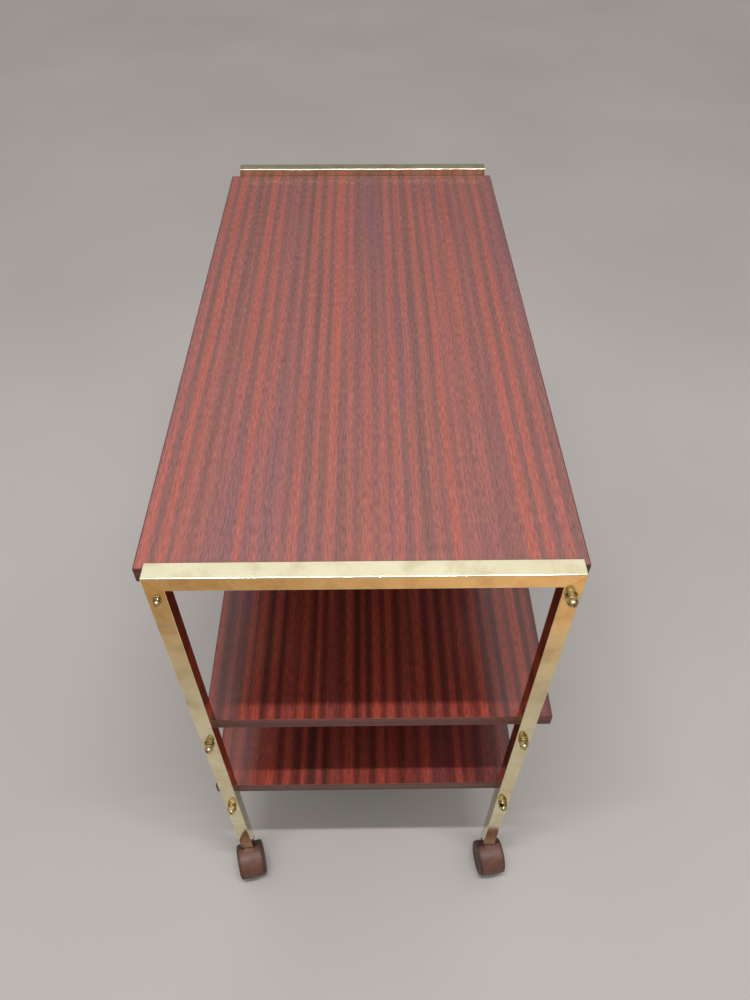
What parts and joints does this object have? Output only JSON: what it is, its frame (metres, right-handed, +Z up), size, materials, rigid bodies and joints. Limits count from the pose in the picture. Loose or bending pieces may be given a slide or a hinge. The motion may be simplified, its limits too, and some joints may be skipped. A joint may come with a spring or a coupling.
{
  "type": "serving trolley",
  "caption": "Narrow serving trolley with inverted-U brass tube end frames, wood-laminate shelves on tie rods with cap nuts, and hooded twin-wheel casters.",
  "frame": {"origin": "on the floor, at the middle of the trolley's footprint (casters, cap nuts and shelves included)", "axes": "+Y along the trolley, from the end with the near frame to the far frame; +X across it; +Z up"},
  "size_m": [0.4166, 0.8476, 0.725],
  "materials": {
    "brass": "polished, clear-lacquered",
    "laminate": "mahogany-grain laminate, satin-gloss",
    "plated_steel": "zinc-plated",
    "brown_plastic": "moulded, satin",
    "black_plastic": "moulded, matt"
  },
  "bodies": {
    "trolley_frame": {"bottom_left_far_cap_nut": "brass", "bottom_left_far_washer": "brass", "bottom_left_near_cap_nut": "brass", "bottom_left_near_washer": "brass", "bottom_left_tie_rod": "plated_steel", "bottom_right_far_cap_nut": "brass", "bottom_right_far_washer": "brass", "bottom_right_near_cap_nut": "brass", "bottom_right_near_washer": "brass", "bottom_right_tie_rod": "plated_steel", "bottom_shelf": "laminate", "far_end_frame": "brass", "far_left_caster_insert": "black_plastic", "far_left_caster_stem": "plated_steel", "far_right_caster_insert": "black_plastic", "far_right_caster_stem": "plated_steel", "middle_left_far_cap_nut": "brass", "middle_left_far_washer": "brass", "middle_left_near_cap_nut": "brass", "middle_left_near_washer": "brass", "middle_left_tie_rod": "plated_steel", "middle_right_far_cap_nut": "brass", "middle_right_far_washer": "brass", "middle_right_near_cap_nut": "brass", "middle_right_near_washer": "brass", "middle_right_tie_rod": "plated_steel", "middle_shelf": "laminate", "near_end_frame": "brass", "near_left_caster_insert": "black_plastic", "near_left_caster_stem": "plated_steel", "near_right_caster_insert": "black_plastic", "near_right_caster_stem": "plated_steel", "top_board": "laminate", "top_left_far_cap_nut": "brass", "top_left_far_washer": "brass", "top_left_near_washer": "brass", "top_left_tie_rod": "plated_steel", "top_right_far_cap_nut": "brass", "top_right_far_washer": "brass", "top_right_near_cap_nut": "brass", "top_right_near_washer": "brass", "top_right_tie_rod": "plated_steel"},
    "near_left_caster": {"near_left_caster_body": "brown_plastic", "near_left_caster_axle": "plated_steel"},
    "near_left_left_wheel": {"near_left_caster_left_wheel": "brown_plastic"},
    "near_left_right_wheel": {"near_left_caster_right_wheel": "brown_plastic"},
    "near_right_caster": {"near_right_caster_body": "brown_plastic", "near_right_caster_axle": "plated_steel"},
    "near_right_left_wheel": {"near_right_caster_left_wheel": "brown_plastic"},
    "near_right_right_wheel": {"near_right_caster_right_wheel": "brown_plastic"},
    "far_left_caster": {"far_left_caster_body": "brown_plastic", "far_left_caster_axle": "plated_steel"},
    "far_left_left_wheel": {"far_left_caster_left_wheel": "brown_plastic"},
    "far_left_right_wheel": {"far_left_caster_right_wheel": "brown_plastic"},
    "far_right_caster": {"far_right_caster_body": "brown_plastic", "far_right_caster_axle": "plated_steel"},
    "far_right_left_wheel": {"far_right_caster_left_wheel": "brown_plastic"},
    "far_right_right_wheel": {"far_right_caster_right_wheel": "brown_plastic"}
  },
  "joints": [
    {"name": "near_left_caster_swivel", "type": "hinge", "parent": "trolley_frame", "child": "near_left_caster", "pos_m": [-0.18725, -0.37856, 0.04], "axis": [0, 0, 1], "continuous": true},
    {"name": "near_left_left_wheel_roll", "type": "hinge", "parent": "near_left_caster", "child": "near_left_left_wheel", "pos_m": [-0.19022, -0.39682, 0.02479], "axis": [0.9703, 0.2419, 0], "continuous": true},
    {"name": "near_left_right_wheel_roll", "type": "hinge", "parent": "near_left_caster", "child": "near_left_right_wheel", "pos_m": [-0.17605, -0.39329, 0.02479], "axis": [0.9703, 0.2419, 0], "continuous": true},
    {"name": "near_right_caster_swivel", "type": "hinge", "parent": "trolley_frame", "child": "near_right_caster", "pos_m": [0.17475, -0.37856, 0.04], "axis": [0, 0, 1], "continuous": true},
    {"name": "near_right_left_wheel_roll", "type": "hinge", "parent": "near_right_caster", "child": "near_right_left_wheel", "pos_m": [0.16989, -0.39641, 0.02479], "axis": [0.9903, 0.1392, 0], "continuous": true},
    {"name": "near_right_right_wheel_roll", "type": "hinge", "parent": "near_right_caster", "child": "near_right_right_wheel", "pos_m": [0.18435, -0.39438, 0.02479], "axis": [0.9903, 0.1392, 0], "continuous": true},
    {"name": "far_left_caster_swivel", "type": "hinge", "parent": "trolley_frame", "child": "far_left_caster", "pos_m": [-0.18725, 0.40344, 0.04], "axis": [0, 0, 1], "continuous": true},
    {"name": "far_left_left_wheel_roll", "type": "hinge", "parent": "far_left_caster", "child": "far_left_left_wheel", "pos_m": [-0.19117, 0.38536, 0.02479], "axis": [0.9816, 0.1908, 0], "continuous": true},
    {"name": "far_left_right_wheel_roll", "type": "hinge", "parent": "far_left_caster", "child": "far_left_right_wheel", "pos_m": [-0.17684, 0.38815, 0.02479], "axis": [0.9816, 0.1908, 0], "continuous": true},
    {"name": "far_right_caster_swivel", "type": "hinge", "parent": "trolley_frame", "child": "far_right_caster", "pos_m": [0.17475, 0.40344, 0.04], "axis": [0, 0, 1], "continuous": true},
    {"name": "far_right_left_wheel_roll", "type": "hinge", "parent": "far_right_caster", "child": "far_right_left_wheel", "pos_m": [0.16896, 0.38587, 0.02479], "axis": [0.9962, 0.0872, 0], "continuous": true},
    {"name": "far_right_right_wheel_roll", "type": "hinge", "parent": "far_right_caster", "child": "far_right_right_wheel", "pos_m": [0.1835, 0.38714, 0.02479], "axis": [0.9962, 0.0872, 0], "continuous": true}
  ]
}
